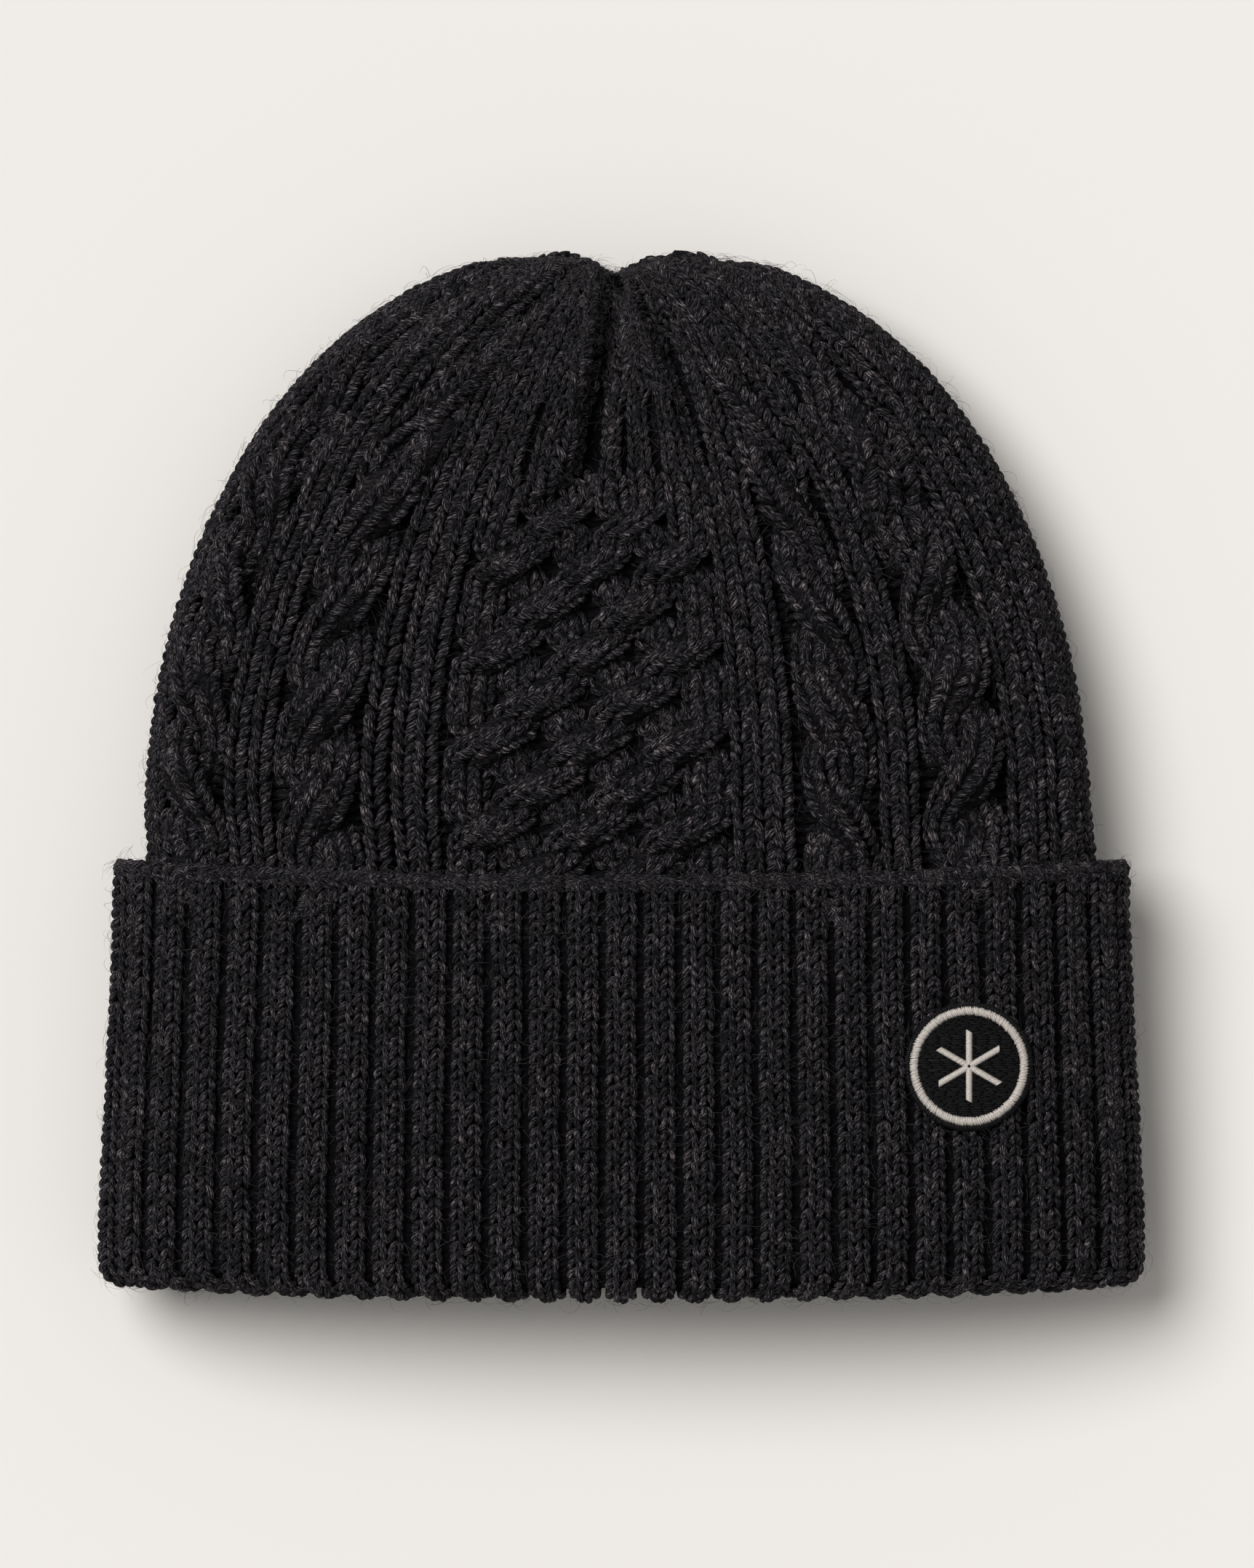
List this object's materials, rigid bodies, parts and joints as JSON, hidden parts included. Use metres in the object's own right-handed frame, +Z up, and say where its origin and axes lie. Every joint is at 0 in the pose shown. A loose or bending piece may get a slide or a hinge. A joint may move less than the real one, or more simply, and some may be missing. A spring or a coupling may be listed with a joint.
{
  "type": "knit beanie",
  "caption": "Cable-knit wool beanie with a deep turned-up ribbed cuff and a round embroidered patch, lying flat on its back.",
  "frame": {"origin": "under the middle of the hat's box, on the surface it lies on", "axes": "+Z up out of the hat's front, +Y from the mouth to the top of the crown, +X across the hat towards the patch's side"},
  "size_m": [0.22, 0.2219, 0.0444],
  "materials": {
    "crown_yarn": "fuzzy charcoal melange wool yarn, cable knit",
    "rib_yarn": "fuzzy charcoal melange wool yarn, two by two rib",
    "patch_backing": "stiff non-woven backing",
    "patch_twill": "black filled embroidery on twill",
    "embroidery": "off-white satin stitch thread",
    "sewing_thread": "black polyester thread",
    "label_satin": "blank woven satin ribbon"
  },
  "bodies": {
    "hat": {"crown_shell": "crown_yarn", "closing_yarn": "crown_yarn", "back_seam": "crown_yarn", "turned_cuff": "rib_yarn", "inner_band": "rib_yarn", "cast_on_edge": "rib_yarn", "patch_backing": "patch_backing", "patch_twill": "patch_twill", "patch_border": "embroidery", "patch_motif": "embroidery", "patch_thread": "sewing_thread", "label_stitches": "sewing_thread"},
    "label": {"care_label": "label_satin"}
  },
  "joints": [
    {"name": "label_flap", "type": "hinge", "parent": "hat", "child": "label", "pos_m": [0.02, -0.06, 0.01045], "axis": [-1, 0, 0], "range_deg": [0, 28]}
  ]
}
